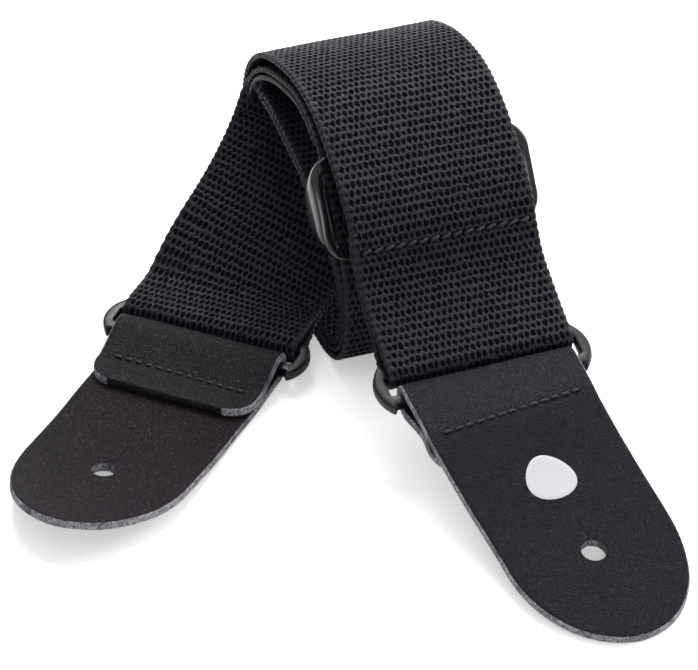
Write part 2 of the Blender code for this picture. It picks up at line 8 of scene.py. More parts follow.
# %% Load the frame
import math
import bmesh
import bpy
import numpy as np
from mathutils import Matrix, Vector


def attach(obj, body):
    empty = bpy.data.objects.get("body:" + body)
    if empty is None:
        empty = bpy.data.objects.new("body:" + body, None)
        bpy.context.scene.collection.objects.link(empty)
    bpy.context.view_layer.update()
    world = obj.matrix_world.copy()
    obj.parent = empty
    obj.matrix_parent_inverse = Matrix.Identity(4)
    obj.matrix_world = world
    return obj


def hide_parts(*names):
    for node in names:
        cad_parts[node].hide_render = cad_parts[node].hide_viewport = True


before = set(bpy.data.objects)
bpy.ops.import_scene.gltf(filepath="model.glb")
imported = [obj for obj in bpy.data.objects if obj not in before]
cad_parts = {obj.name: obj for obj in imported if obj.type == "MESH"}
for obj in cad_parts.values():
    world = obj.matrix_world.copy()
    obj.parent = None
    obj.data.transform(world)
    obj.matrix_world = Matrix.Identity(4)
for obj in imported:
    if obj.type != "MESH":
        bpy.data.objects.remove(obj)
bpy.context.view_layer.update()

MM = 0.001
X, Y, Z = np.eye(3)

# %% [markdown]
# ## Lengths
# The webbing's width sets the scale: two-inch webbing is 50.8 mm wide.
# A profile point (a, z) is a mm in front of the roll's back wall and z mm above the ground.

# %% Lengths
WEB_WIDTH, WEB_THICK, LAYER_PITCH = 50.8, 1.62, 2.1
HANK_BACK = 40.0
RING_LENGTH, RING_WIDTH, RING_THICK = 59.0, 18.6, 3.0
SLOT_LENGTH, SLOT_WIDTH, RING_BAR = 52.2, 5.2, 3.2
BAR_OFFSET = (SLOT_WIDTH + RING_BAR) / 2
LOOP_GAP, HALF_LAYER = 0.4, 0.85
LOOP_R = RING_BAR / 2 + LOOP_GAP + HALF_LAYER
TAB_THICK, TAB_WIDTH, TAB_WAIST = 2.3, 47.2, 45.6
TAB_LENGTH, TAB_TONGUE, TAB_FLAP, TAB_FLAP_CORNER = 90.0, 32.0, 26.0, 7.0
HOLE_AT, HOLE_DIA, SLIT_LENGTH, SLIT_WIDTH = 61.2, 6.4, 11.0, 0.35
STITCH_AT, STITCH_RUN, STITCHES = 16.5, 39.0, 13
FOLD_BACK, SEAM_AT, RETURN_STOP = 37.0, 31.0, 17.5
SLIDER_LENGTH, SLIDER_WIDTH, SLIDER_BAR, SLIDER_MID = 61.0, 28.0, 4.2, 5.0
SLIDER_THICK, RAIL_ARCH = 2.4, 1.3
print("a ring's bars sit", BAR_OFFSET, "mm from its centre; webbing turns at", round(LOOP_R, 2), "mm")

# %% [markdown]
# ## Curves
# A band is a centre line with a width direction at every station.
# Catmull-Rom curves run through the key points, so the line has no corners.

# %% Curve helpers
def unit(v):
    """v / |v|"""
    v = np.asarray(v, float)
    return v / np.linalg.norm(v)


def arc(p):
    """Running length s_i = sum |p_k+1 - p_k| along a polyline."""
    return np.concatenate([[0], np.cumsum(np.linalg.norm(np.diff(p, axis=0), axis=1))])


def resample(p, step):
    """Even spacing along a polyline."""
    d = arc(p)
    s = np.linspace(0, d[-1], max(2, int(round(d[-1] / step)) + 1))
    return np.stack([np.interp(s, d, p[:, k]) for k in range(p.shape[1])], 1)


def smooth_curve(points, step):
    """Centripetal Catmull-Rom curve (knots t_k+1 - t_k = sqrt|dp|) through the points."""
    p = np.asarray(points, float)
    p = np.vstack([2 * p[0] - p[1], p, 2 * p[-1] - p[-2]])
    out = []
    for i in range(1, len(p) - 2):
        q = p[i - 1:i + 3]
        t = np.concatenate([[0], np.cumsum(np.sqrt(np.linalg.norm(np.diff(q, axis=0), axis=1)))])
        for s in np.linspace(t[1], t[2], 24, endpoint=False):
            a = [((t[k + 1] - s) * q[k] + (s - t[k]) * q[k + 1]) / (t[k + 1] - t[k]) for k in range(3)]
            b = [((t[k + 2] - s) * a[k] + (s - t[k]) * a[k + 1]) / (t[k + 2] - t[k]) for k in range(2)]
            out.append(((t[2] - s) * b[0] + (s - t[1]) * b[1]) / (t[2] - t[1]))
    out.append(p[-2])
    return resample(np.array(out), step)


def frames_along(p, rule):
    """Tangent t, width direction r made square to it, and normal n = r x t."""
    t = np.gradient(p, axis=0)
    t /= np.linalg.norm(t, axis=1)[:, None]
    r = rule - (rule * t).sum(1)[:, None] * t
    r /= np.linalg.norm(r, axis=1)[:, None]
    return t, r, np.cross(r, t)


def smooth_step(x):
    """3x^2 - 2x^3 on 0..1"""
    x = np.clip(x, 0, 1)
    return x * x * (3 - 2 * x)


def az_to_world(az, x=0.0):
    """(a, z) profile points to world points: Y = HANK_BACK - a."""
    az = np.asarray(az, float)
    return np.stack([np.full(len(az), x), HANK_BACK - az[:, 0], az[:, 1]], 1)


def loop_points(bar, u, n, radius, steps=13):
    """Half turn round a bar: c + u R cos t + n R sin t, t from 90 to -90 degrees."""
    ang = np.linspace(math.pi / 2, -math.pi / 2, steps)
    return np.array([bar + u * radius * math.cos(t) + n * radius * math.sin(t) for t in ang])

# %% [markdown]
# ## The route of the webbing
# Two turns of the roll lie in the Y-Z plane.  The left arm then turns its width
# direction by 43 degrees while it drops to the ground.  The return layer lies one
# layer pitch inside the main one, from the rear ring to the slider.

# %% Route
TILT_A = math.radians(-20.0)
RING_A = np.array([115.45, 21.87])
U_A = np.array([math.cos(TILT_A), math.sin(TILT_A)])
N_A = np.array([-U_A[1], U_A[0]])
BAR_A, BAR_A2 = RING_A - U_A * BAR_OFFSET, RING_A + U_A * BAR_OFFSET
SLIDE_C = np.array([71.2, 49.0])
SLIDE_D = unit((0.56, -0.83))
SLIDE_N = np.array([-SLIDE_D[1], SLIDE_D[0]])
LEFT_RULE = unit((0.731, -0.682, 0.0))
LEFT_HEAD = np.array([-0.682, -0.731, 0.0])
TILT_B = math.radians(-4.0)
RING_B = np.array([-55.454, -17.016, 5.455])
U_B = LEFT_HEAD * math.cos(TILT_B) + Z * math.sin(TILT_B)
N_B = unit(np.cross(U_B, LEFT_RULE))
N_B = N_B * np.sign(N_B[2])
BAR_B, BAR_B2 = RING_B - U_B * BAR_OFFSET, RING_B + U_B * BAR_OFFSET

TURNS = [BAR_A + N_A * LOOP_R, (104.8, 30.4), (99.6, 33.6), (94.0, 37.5), (90.0, 43.0), (86.4, 49.8),
         (80.6, 56.5), (73.6, 61.9), (65.8, 67.1), (57.0, 70.9), (47.0, 72.2), (35.4, 70.9), (23.5, 67.5),
         (13.7, 62.7), (6.6, 56.0), (2.9, 49.1), (1.2, 42.0), (0.85, 34.0), (0.85, 20.0),
         (1.2, 12.0), (3.6, 5.0), (9.0, 1.5), (16.0, 0.85), (30.0, 0.85), (45.0, 0.85), (58.0, 0.85),
         (67.0, 1.2), (74.5, 3.6), (79.6, 9.0), (81.4, 16.0), (81.8, 24.0), (81.4, 31.0)]
TURNS += [tuple(SLIDE_C + SLIDE_D * k) for k in (14.5, 7.0, -7.0, -13.5)]
TURNS += [(58.2, 65.3), (47.5, 68.4), (36.0, 67.0), (24.6, 63.7), (15.6, 59.4), (9.0, 53.8),
          (5.3, 48.0), (3.4, 41.4), (2.95, 34.0), (2.95, 21.0), (3.3, 13.0), (5.6, 6.9), (10.0, 3.8),
          (16.5, 2.95), (30.0, 2.95), (45.0, 2.95), (58.0, 2.95), (66.2, 3.3), (73.0, 5.5), (77.6, 10.2),
          (79.3, 16.5), (79.6, 23.5), (77.9, 29.6), (73.2, 34.8), (66.6, 39.3), (58.6, 43.6),
          (49.0, 47.4), (38.5, 50.2), (28.6, 52.2)]
LEFT_ARM = [((0, 19.6, 53.2), (1, 0, 0)), ((-0.1, 25.4, 51.6), (1, -0.01, 0)),
            ((-0.8, 28.2, 46.6), (1, -0.04, 0)), ((-3.6, 26.6, 40.4), (0.99, -0.13, 0)),
            ((-9.0, 20.6, 34.1), (0.95, -0.28, 0)), ((-17.4, 13.2, 27.2), (0.88, -0.46, 0)),
            ((-27.0, 6.6, 20.1), (0.80, -0.60, 0)), ((-35.0, 2.0, 13.8), (0.76, -0.65, 0)),
            ((-41.8, -2.8, 8.2), (0.731, -0.682, 0))]


def webbing_path(step):
    """Centre line and width directions of the whole band, end to end."""
    keys = [np.hstack([q, X]) for q in az_to_world(TURNS)]
    keys += [np.hstack([np.array(q, float), unit(r)]) for q, r in LEFT_ARM]
    keys += [np.hstack([BAR_B - U_B * k - N_B * LOOP_R, LEFT_RULE]) for k in (4.0, 0.0)]
    both = smooth_curve(keys, step)
    base, rule = both[:, :3], both[:, 3:]
    rule = rule / np.linalg.norm(rule, axis=1)[:, None]
    s = arc(base)
    _, _, n = frames_along(base, rule)
    if np.dot(n[20], az_to_world([[45.0, 30.0]])[0] - base[20]) < 0:
        n = -n
    spread = 2 * LOOP_R - LAYER_PITCH
    near = LAYER_PITCH + spread * (1 - smooth_step((s - 3.0) / 13.0))
    back = (base + n * near[:, None])[(s > 0.1) & (s < FOLD_BACK)][::-1]
    loop_a = az_to_world(loop_points(BAR_A, U_A, N_A, LOOP_R)[::-1])
    loop_b = loop_points(BAR_B, U_B, -N_B, LOOP_R)
    far = LAYER_PITCH + spread * smooth_step((s - (s[-1] - 16.0)) / 13.0)
    stop = az_to_world([SLIDE_C - SLIDE_D * RETURN_STOP])[0]
    i_stop = int(np.argmin(np.linalg.norm(base - stop, axis=1)))
    ret = (base + n * far[:, None])[i_stop:][::-1]
    ret[0] = BAR_B + N_B * LOOP_R
    path = np.vstack([back, loop_a, base, loop_b, ret])
    rules = np.vstack([np.tile(X, (len(back) + len(loop_a), 1)), rule,
                       np.tile(LEFT_RULE, (len(loop_b), 1)), rule[i_stop:][::-1]])
    keep = np.concatenate([[True], np.linalg.norm(np.diff(path, axis=0), axis=1) > 0.15])
    start = int(keep[:len(back) + len(loop_a)].sum())
    return path[keep], rules[keep], start

# %% [markdown]
# ## Materials
# Four node groups carry the looks: woven cloth, grained leather, cut leather and
# moulded plastic.  The weave is strands round a brick pattern of gaps, every 1.655 mm
# across and 4.41 mm along, with a second set shifted by half a cell each way.
# Real strands could be modelled one by one, but thousands of them would swamp the
# mesh, so waves along the band's own lengths draw them, a bump raises them and the
# gaps get painted shade in the colour.  The leather's pale spots are painted glints.
# The groups hand out colours, roughness and normals.  The shader stays in each material.

# %% Node helpers
COLOUR, NUMBER, DIRECTION = "NodeSocketColor", "NodeSocketFloat", "NodeSocketVector"
GIVES = {"Base Color": COLOUR, "Roughness": NUMBER, "Specular IOR Level": NUMBER, "Normal": DIRECTION}


def group(name, takes):
    """New shader node group with (name, type, default) inputs."""
    g = bpy.data.node_groups.new(name, "ShaderNodeTree")
    for sname, stype, default in takes:
        s = g.interface.new_socket(sname, in_out="INPUT", socket_type=stype)
        s.default_value = default
    return g, g.nodes.new("NodeGroupInput")


def hand_out(g, results):
    """Give the group one output for each result, named for the shader input it feeds."""
    for name in results:
        g.interface.new_socket(name, in_out="OUTPUT", socket_type=GIVES[name])
    gout = g.nodes.new("NodeGroupOutput")
    for name, socket in results.items():
        g.links.new(socket, gout.inputs[name])
    return g


def node(g, kind, **values):
    """Add a node, setting attributes and, for names that are inputs, input values."""
    n = g.nodes.new(kind)
    for k, v in values.items():
        if hasattr(n, k):
            setattr(n, k, v)
        else:
            n.inputs[k.replace("_", " ")].default_value = v
    return n


def math_node(g, op, a, b=None, clamp=False):
    """Math node; a and b are sockets or numbers."""
    n = g.nodes.new("ShaderNodeMath")
    n.operation, n.use_clamp = op, clamp
    for i, v in enumerate((a, b)):
        if v is None:
            continue
        if isinstance(v, (int, float)):
            n.inputs[i].default_value = v
        else:
            g.links.new(v, n.inputs[i])
    return n.outputs[0]


def ramp(g, value, low, high, out_low=0.0, out_high=1.0):
    """Linear map of a value, clamped."""
    n = node(g, "ShaderNodeMapRange", clamp=True)
    g.links.new(value, n.inputs["Value"])
    for k, v in (("From Min", low), ("From Max", high), ("To Min", out_low), ("To Max", out_high)):
        n.inputs[k].default_value = v
    return n.outputs["Result"]


def mix_colour(g, fac, a, b):
    """Colour mix; a and b are sockets or RGB tuples."""
    n = g.nodes.new("ShaderNodeMix")
    n.data_type = "RGBA"
    g.links.new(fac, n.inputs["Factor"])
    ins = [i for i in n.inputs if i.type == "RGBA"]
    for sock, v in zip(ins, (a, b)):
        if isinstance(v, tuple):
            sock.default_value = (*v, 1.0)
        else:
            g.links.new(v, sock)
    return [o for o in n.outputs if o.type == "RGBA"][0]


def noise(g, vector, scale, detail=3.0, rough=0.55):
    """Noise texture value on a vector socket."""
    n = node(g, "ShaderNodeTexNoise")
    n.inputs["Scale"].default_value = scale
    n.inputs["Detail"].default_value = detail
    n.inputs["Roughness"].default_value = rough
    g.links.new(vector, n.inputs["Vector"])
    return n.outputs["Fac"]


def bump(g, height, distance):
    """Bump node at full strength; distance in metres."""
    n = node(g, "ShaderNodeBump")
    n.inputs["Strength"].default_value = 1.0
    n.inputs["Distance"].default_value = distance
    g.links.new(height, n.inputs["Height"])
    return n.outputs["Normal"]

# %% Woven cloth
CELL_ACROSS, CELL_ALONG = 1.655, 4.41


def weave_group():
    """h = 1 - max(|cos pu/c||cos pv/l|, |sin pu/c||sin pv/l|): strands round a brick pattern of gaps, with
    painted shade in the gaps.
    """
    g, gin = group("woven_cloth", [("Colour", COLOUR, (0.03, 0.03, 0.034, 1)), ("Relief", NUMBER, 0.00045)])
    uv = node(g, "ShaderNodeUVMap", uv_map="weave")
    obj = node(g, "ShaderNodeTexCoord").outputs["Object"]
    sep = node(g, "ShaderNodeSeparateXYZ")
    wob = math_node(g, "MULTIPLY", math_node(g, "SUBTRACT", noise(g, obj, 260.0, 2.0), 0.5), 0.55)
    wob2 = math_node(g, "MULTIPLY", math_node(g, "SUBTRACT", noise(g, obj, 190.0, 2.0), 0.5), 0.7)
    g.links.new(uv.outputs["UV"], sep.inputs[0])
    fray = math_node(g, "MULTIPLY", math_node(g, "SUBTRACT", noise(g, obj, 1150.0, 3.0, 0.6), 0.5), 1.1)
    fray2 = math_node(g, "MULTIPLY", math_node(g, "SUBTRACT", noise(g, obj, 820.0, 3.0, 0.6), 0.5), 1.9)
    u = math_node(g, "ADD", math_node(g, "ADD", math_node(g, "MULTIPLY", sep.outputs[0], 1000.0), wob), fray)
    v = math_node(g, "ADD", math_node(g, "ADD", math_node(g, "MULTIPLY", sep.outputs[1], 1000.0), wob2), fray2)
    pu = math_node(g, "MULTIPLY", u, math.pi / CELL_ACROSS)
    pv = math_node(g, "MULTIPLY", v, math.pi / CELL_ALONG)
    waves = {}
    for key, op, x in (("cu", "COSINE", pu), ("su", "SINE", pu), ("cv", "COSINE", pv), ("sv", "SINE", pv)):
        waves[key] = math_node(g, "ABSOLUTE", math_node(g, op, x))
    soft = {k: math_node(g, "POWER", w, 1.5 if k[1] == "v" else 0.75) for k, w in waves.items()}
    h1 = math_node(g, "MULTIPLY", soft["cu"], soft["cv"])
    h2 = math_node(g, "MULTIPLY", math_node(g, "MULTIPLY", soft["su"], soft["sv"]), 0.86)
    h = math_node(g, "SMOOTH_MAX", h1, h2)
    h.node.inputs[2].default_value = 0.10
    rows = math_node(g, "ABSOLUTE", math_node(g, "COSINE", math_node(g, "MULTIPLY", pv, 2.0)))
    h = math_node(g, "MULTIPLY", h, math_node(g, "ADD", math_node(g, "MULTIPLY", rows, 0.42), 0.58))
    h = math_node(g, "SUBTRACT", 1.0, ramp(g, h, 0.26, 0.78))
    lines = math_node(g, "SUBTRACT", 1.0, math_node(g, "MULTIPLY", rows, rows))
    h = math_node(g, "MULTIPLY", h, math_node(g, "ADD", math_node(g, "MULTIPLY", lines, 0.34), 0.70))
    edge = ramp(g, math_node(g, "ABSOLUTE", math_node(g, "MULTIPLY", sep.outputs[0], 1000.0)), 23.2, 24.6)
    fine = noise(g, obj, 2600.0, 2.0, 0.7)
    rib = math_node(g, "ABSOLUTE", math_node(g, "SINE", math_node(g, "MULTIPLY", v, 2 * math.pi / CELL_ALONG)))
    h_edge = math_node(g, "ADD", math_node(g, "MULTIPLY", rib, 0.35), 0.45)
    flat = math_node(g, "SUBTRACT", 1.0, edge)
    hh = math_node(g, "ADD", math_node(g, "MULTIPLY", h, flat), math_node(g, "MULTIPLY", h_edge, edge))
    hh = math_node(g, "ADD", hh, math_node(g, "MULTIPLY", fine, 0.30))
    nrm = bump(g, hh, 0.0005)
    g.links.new(gin.outputs["Relief"], nrm.node.inputs["Distance"])
    # Painted shade: the low gaps between strands get a near-black colour, and the raised strands get the cloth
    # colour.
    unshaded_strands = ramp(g, hh, 0.40, 0.98)
    patch = ramp(g, noise(g, obj, 32.0, 3.0), 0.3, 0.7, 0.86, 1.1)
    lit = mix_colour(g, unshaded_strands, (0.0036, 0.0028, 0.0048), gin.outputs["Colour"])
    tint = node(g, "ShaderNodeVectorMath", operation="SCALE")
    g.links.new(lit, tint.inputs[0])
    g.links.new(patch, tint.inputs["Scale"])
    return hand_out(g, {"Base Color": tint.outputs[0],
                        "Roughness": ramp(g, hh, 0.3, 0.95, 0.85, 0.42),
                        "Specular IOR Level": ramp(g, hh, 0.35, 0.9, 0.02, 0.22),
                        "Normal": nrm})

# %% Grained leather
def leather_group():
    """Pebbled grain of 0.6 mm cells, strong up to the stitch row and faint beyond it, and pale spots painted
    in as glints.
    """
    g, gin = group("grained_leather", [("Colour", COLOUR, (0.03, 0.028, 0.03, 1)), ("Grain", NUMBER, 0.00022),
                                       ("Speckle", NUMBER, 0.3), ("Roughness", NUMBER, 0.5)])
    obj = node(g, "ShaderNodeTexCoord").outputs["Object"]
    vor = node(g, "ShaderNodeTexVoronoi", feature="DISTANCE_TO_EDGE")
    vor.inputs["Scale"].default_value = 1500.0
    g.links.new(obj, vor.inputs["Vector"])
    cells = ramp(g, vor.outputs["Distance"], 0.0, 0.22)
    mid = noise(g, obj, 950.0, 4.0, 0.65)
    slow = noise(g, obj, 60.0, 3.0)
    height = math_node(g, "ADD", math_node(g, "MULTIPLY", cells, 0.5), math_node(g, "MULTIPLY", mid, 0.9))
    height = math_node(g, "ADD", height, math_node(g, "MULTIPLY", slow, 1.2))
    uv = node(g, "ShaderNodeUVMap", uv_map="weave")
    sep = node(g, "ShaderNodeSeparateXYZ")
    g.links.new(uv.outputs["UV"], sep.inputs[0])
    fold = ramp(g, sep.outputs[1], 0.041, 0.047, 1.0, 0.45)
    nrm = bump(g, height, 0.0002)
    g.links.new(math_node(g, "MULTIPLY", gin.outputs["Grain"], fold), nrm.node.inputs["Distance"])
    # Painted glints: pale spots mixed into the leather colour stand in for glossy sparkle on the grain.
    painted_glints = ramp(g, noise(g, obj, 1500.0, 2.0, 0.6), 0.56, 0.74)
    painted_glints = math_node(g, "MULTIPLY", painted_glints, gin.outputs["Speckle"])
    lit = mix_colour(g, painted_glints, gin.outputs["Colour"], (0.085, 0.08, 0.085))
    rough = math_node(g, "ADD", gin.outputs["Roughness"], ramp(g, mid, 0.3, 0.7, -0.08, 0.1))
    return hand_out(g, {"Base Color": lit, "Roughness": rough,
                        "Specular IOR Level": ramp(g, fold, 0.45, 1.0, 0.085, 0.2),
                        "Normal": nrm})

# %% Cut leather
def cut_group():
    """Cut leather: pale fibres in streaks over a grey core."""
    g, gin = group("cut_leather", [("Colour", COLOUR, (0.12, 0.115, 0.13, 1))])
    obj = node(g, "ShaderNodeTexCoord").outputs["Object"]
    fib = noise(g, obj, 1300.0, 4.0, 0.75)
    slow = noise(g, obj, 160.0, 2.0)
    lit = mix_colour(g, ramp(g, fib, 0.35, 0.62), (0.03, 0.028, 0.034), gin.outputs["Colour"])
    lit2 = mix_colour(g, ramp(g, slow, 0.25, 0.5), (0.05, 0.047, 0.055), lit)
    return hand_out(g, {"Base Color": lit2, "Normal": bump(g, fib, 0.0003)})

# %% Moulded plastic
def plastic_group():
    """Moulded plastic with a faint texture in the surface and the roughness."""
    g, gin = group("moulded_plastic", [("Roughness", NUMBER, 0.35)])
    obj = node(g, "ShaderNodeTexCoord").outputs["Object"]
    fine = noise(g, obj, 900.0, 2.0)
    cloudy = ramp(g, noise(g, obj, 120.0), 0.3, 0.7, -0.05, 0.07)
    return hand_out(g, {"Roughness": math_node(g, "ADD", gin.outputs["Roughness"], cloudy),
                        "Normal": bump(g, fine, 0.00002)})

# %% [markdown]
# ## The strap's own materials
# One material could hold all its nodes, but two leathers and four plastics would then
# repeat them.  So each material is a Principled shader of its own, and a group feeds
# the inputs that vary over the surface.  What is the same everywhere is a plain value.

# %% Materials
GROUPS = {"cloth": weave_group(), "leather": leather_group(), "cut": cut_group(), "plastic": plastic_group()}


PLAIN = {
    "cloth": {"Specular IOR Level": 0.12},
    "leather": {"Specular IOR Level": 0.11},
    "cut": {"Roughness": 0.9, "Specular IOR Level": 0.2},
    "plastic": {"Specular IOR Level": 0.34, "Coat Roughness": 0.08},
}


def material(name, kind, colour, coat=0.0, **values):
    """Principled material: plain values first, then the group's outputs on the inputs they name."""
    mat = bpy.data.materials.new(name)
    mat.use_nodes = True
    mat.diffuse_color = (*colour, 1.0)
    t = mat.node_tree
    t.nodes.clear()
    shader = t.nodes.new("ShaderNodeBsdfPrincipled")
    for k, v in {**PLAIN[kind], "Base Color": (*colour, 1.0), "Coat Weight": coat}.items():
        shader.inputs[k].default_value = v
    finish = t.nodes.new("ShaderNodeGroup")
    finish.node_tree = GROUPS[kind]
    if "Colour" in finish.inputs:
        finish.inputs["Colour"].default_value = (*colour, 1.0)
    for k, v in values.items():
        finish.inputs[k].default_value = v
    for socket in finish.outputs:
        t.links.new(socket, shader.inputs[socket.name])
    out = t.nodes.new("ShaderNodeOutputMaterial")
    t.links.new(shader.outputs[0], out.inputs["Surface"])
    return mat


MAT = {
    "webbing": material("webbing", "cloth", (0.0105, 0.0078, 0.0150)),
    # The glint value on each leather sets how much painted glint it gets.
    "leather_front": material("leather_front", "leather", (0.0068, 0.0048, 0.0102),
                              Speckle=0.20, Roughness=0.46, Grain=0.00050),
    "leather_rear": material("leather_rear", "leather", (0.0088, 0.0060, 0.0092),
                             Speckle=0.45, Roughness=0.48, Grain=0.00042),
    "cut": material("cut_leather", "cut", (0.36, 0.345, 0.385)),
    "ring": material("ring_plastic", "plastic", (0.007, 0.006, 0.009), Roughness=0.33),
    "slider": material("slider_plastic", "plastic", (0.007, 0.007, 0.009), coat=0.5, Roughness=0.2),
    "thread": material("thread", "plastic", (0.012, 0.011, 0.014), Roughness=0.5),
    "foil": material("foil", "plastic", (0.47, 0.47, 0.49), Roughness=0.38),
}
print("materials", sorted(m.name for m in MAT.values()), "from", len(GROUPS), "groups")

# %% [markdown]
# ## Meshes
# A band's cross-section is a flat loop with rounded or square edges.  It is swept
# along the centre line, and a relief function may push each point in or out.  A curve
# with a bevel could do this too, but it can't narrow, dent or change material by face.

# %% Mesh helpers
def face_outward(me):
    """Turn every face outward; an open sheet is turned upward."""
    bm = bmesh.new()
    bm.from_mesh(me)
    bmesh.ops.recalc_face_normals(bm, faces=bm.faces)
    closed = not any(e.is_boundary for e in bm.edges)
    way = bm.calc_volume(signed=True) if closed else sum(f.normal.z * f.calc_area() for f in bm.faces)
    if way < 0:
        bmesh.ops.reverse_faces(bm, faces=bm.faces)
    bm.to_mesh(me)
    bm.free()


def mesh_object(name, verts, quads, mats, face_mat=None, uv=None, caps=()):
    """Object from millimetre vertices and an (n, 4) quad array, with optional end caps."""
    me = bpy.data.meshes.new(name)
    quads = np.asarray(quads, np.int32)
    loops = [quads.reshape(-1)] + [np.asarray(c, np.int32) for c in caps]
    totals = np.concatenate([np.full(len(quads), 4)] + [[len(c)] for c in caps]).astype(np.int32)
    flat = np.concatenate(loops)
    starts = np.concatenate([[0], np.cumsum(totals)[:-1]]).astype(np.int32)
    me.vertices.add(len(verts))
    me.vertices.foreach_set("co", (np.asarray(verts) * MM).astype(np.float32).reshape(-1))
    me.loops.add(len(flat))
    me.loops.foreach_set("vertex_index", flat)
    me.polygons.add(len(totals))
    me.polygons.foreach_set("loop_start", starts)
    me.polygons.foreach_set("loop_total", totals)
    for m in mats:
        me.materials.append(m)
    if face_mat is not None:
        index = np.concatenate([face_mat, np.full(len(caps), face_mat[-1])])
        me.polygons.foreach_set("material_index", index.astype(np.int32))
    me.update(calc_edges=True)
    if uv is not None:
        layer = me.uv_layers.new(name="weave")
        layer.data.foreach_set("uv", (np.asarray(uv)[flat] * MM).astype(np.float32).reshape(-1))
    me.validate()
    face_outward(me)
    me.polygons.foreach_set("use_smooth", np.ones(len(me.polygons), bool))
    for cap in list(me.polygons)[len(me.polygons) - len(caps):]:
        cap.use_smooth = False
        cap.material_index = len(mats) - 1
    ob = bpy.data.objects.new(name, me)
    bpy.context.scene.collection.objects.link(ob)
    return ob

# %% Bands
def section(half, thick, across, edge_steps=4, square=0.0):
    """Loop of (x, y, is_edge) points: top left to right, right edge, bottom, left edge.

    square is the flat part of the edge as a share of the thickness."""
    h = thick / 2
    rad = h * (1 - square)
    xs = np.linspace(-half + rad, half - rad, across)
    ang = np.linspace(math.pi / 2, 0, edge_steps + 1)[1:]
    corner = [(half - rad + rad * math.cos(t), h - rad + rad * math.sin(t)) for t in ang]
    right = corner + [(x, -y) for x, y in reversed(corner)]
    if square == 0.0:
        right = corner + [(x, -y) for x, y in reversed(corner[:-1])]
    pts = [(x, h, 0) for x in xs] + [(x, y, 1) for x, y in right]
    pts += [(x, -h, 0) for x in xs[::-1]] + [(-x, y, 1) for x, y in reversed(right)]
    return np.array(pts)


def sweep_quads(stations, ring):
    """Quads of a swept closed loop of ring points, and its two caps."""
    i, k = np.meshgrid(np.arange(stations - 1), np.arange(ring), indexing="ij")
    a, b = i * ring + k, i * ring + (k + 1) % ring
    quads = np.stack([a, a + ring, b + ring, b], -1).reshape(-1, 4)
    caps = [np.arange(ring), (stations - 1) * ring + np.arange(ring - 1, -1, -1)]
    return quads, caps


def band(name, p, rule, half, thick, across, mats, square=0.0, relief=None, edge_steps=4, scallop=0.0):
    """Swept band.  relief(s, x, side) is added along the normal, side +1 on top.

    scallop pushes the edges out and in with the rows of the weave."""
    _, r, n = frames_along(p, rule)
    s = arc(p)
    hw = np.broadcast_to(np.asarray(half, float), (len(p),))
    full = section(WEB_WIDTH / 2, thick, across, edge_steps, square)
    over = WEB_WIDTH / 2 - full[:, 0] * np.sign(full[:, 0])
    ring = len(full)
    narrow = np.minimum(1, hw[:, None] / 8.0)
    xx = np.sign(full[:, 0]) * np.clip(hw[:, None] - over[None, :] * narrow, 0, None)
    body = (full[:, 2] == 0)
    span = (WEB_WIDTH / 2 - thick / 2 * (1 - square))
    flatx = full[:, 0] / span
    xx[:, body] = flatx[body][None, :] * np.clip(hw[:, None] - thick / 2 * (1 - square) * narrow, 0.05, None)
    wave = scallop * np.sin(2 * math.pi * s / (CELL_ALONG / 2))
    xx = xx + wave[:, None] * (np.sign(full[:, 0]) * full[:, 2])[None, :]
    yy = np.broadcast_to(full[:, 1], xx.shape).copy()
    side = np.sign(full[:, 1])
    if relief is not None:
        yy = yy + relief(s[:, None] * np.ones_like(xx), xx, np.broadcast_to(side, xx.shape))
    v = p[:, None, :] + r[:, None, :] * xx[..., None] + n[:, None, :] * yy[..., None]
    quads, caps = sweep_quads(len(p), ring)
    uv = np.stack([xx, s[:, None] * np.ones_like(xx)], -1).reshape(-1, 2)
    e = full[:, 2].astype(int)
    face_mat = np.tile(((e + np.roll(e, -1)) > 0).astype(int), len(p) - 1) if len(mats) > 1 else None
    return mesh_object(name, v.reshape(-1, 3), quads, mats, face_mat, uv, caps)

# %% [markdown]
# ## Webbing
# The band is cut to 1.07 m here and lies doubled over itself from the rear ring back
# to the slider.  Its surface dips along the seam, and its edges wander by a few
# hundredths of a millimetre, as cloth does.

# %% Webbing
path, rules, arm_start = webbing_path(0.74)
arm_s = arc(path)[arm_start]


def cloth_relief(s, x, side):
    """Thicker selvedges, a groove inside them, slow waves and the seam's dent."""
    edge = np.abs(x) - (WEB_WIDTH / 2 - 2.4)
    selvedge = -0.10 * np.exp(-(edge / 0.9) ** 2)
    wave = 0.07 * np.sin(s / 7.3 + 1.3 * np.sin(x / 9.0)) + 0.05 * np.sin(s / 3.1 + x / 5.0)
    pulls = 0.75 + 0.25 * np.cos(x * 2 * math.pi / 3.2)
    seam = -0.34 * np.exp(-((s - arm_s - SEAM_AT) / 0.9) ** 2) * pulls
    return side * (selvedge + seam) + wave * 0.8


webbing = band("webbing", path, rules, WEB_WIDTH / 2, WEB_THICK, 21, [MAT["webbing"]],
               relief=cloth_relief, scallop=0.16)
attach(webbing, "strap")
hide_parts("main_webbing")
print("webbing", round(arc(path)[-1], 1), "mm long in", len(path), "stations")

# %% [markdown]
# ## Threads
# On the strap each stitch dives through the layers and comes up again.  Only the part
# above the surface shows, so a stitch is a short arched capsule whose ends go under.

